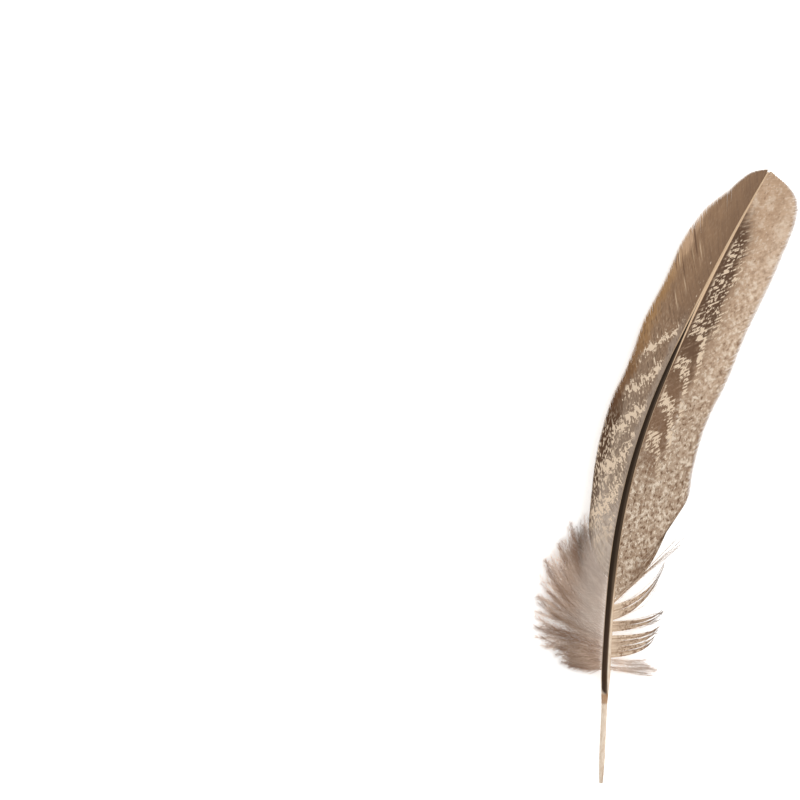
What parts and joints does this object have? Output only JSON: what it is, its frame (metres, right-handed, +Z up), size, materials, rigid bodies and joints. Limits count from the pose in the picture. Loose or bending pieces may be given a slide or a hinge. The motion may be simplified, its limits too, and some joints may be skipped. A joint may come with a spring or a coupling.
{
  "type": "feather quill",
  "caption": "Natural wing feather with an uncut hollow quill, a curved grooved shaft, a narrow and a broad barred vane, loose barb tufts and basal down, lying with its back up.",
  "frame": {"origin": "centre of the feather's bounding box, on the surface it lies on", "axes": "+Z up through the feather's back; +Y along the straight quill, from its tip towards the vanes; +X towards the broad trailing vane, the side the shaft bends to"},
  "size_m": [0.0732, 0.1826, 0.0096],
  "materials": {
    "quill_horn": "satin",
    "shaft_horn": "gloss",
    "pith": "matte",
    "dried_pulp": "matte",
    "leading_vane": "matte",
    "trailing_vane": "matte",
    "barb_tufts": "matte",
    "down": "matte"
  },
  "bodies": {
    "root": {"quill_tube": "quill_horn", "tip_plug": "dried_pulp", "pulp_caps": "dried_pulp", "shaft_cortex": "shaft_horn", "shaft_pith": "pith", "leading_web_tip": "leading_vane", "leading_web_upper": "leading_vane", "leading_web_middle": "leading_vane", "leading_web_lower": "leading_vane", "leading_down_upper": "down", "leading_down_middle": "down", "leading_down_lower": "down", "trailing_web_tip": "trailing_vane", "trailing_web_upper": "trailing_vane", "trailing_web_middle": "trailing_vane", "trailing_web_lower": "trailing_vane", "barb_tuft_1": "barb_tufts", "barb_tuft_2": "barb_tufts", "barb_tuft_3": "barb_tufts", "barb_tuft_4": "barb_tufts", "trailing_down": "down"}
  },
  "joints": []
}
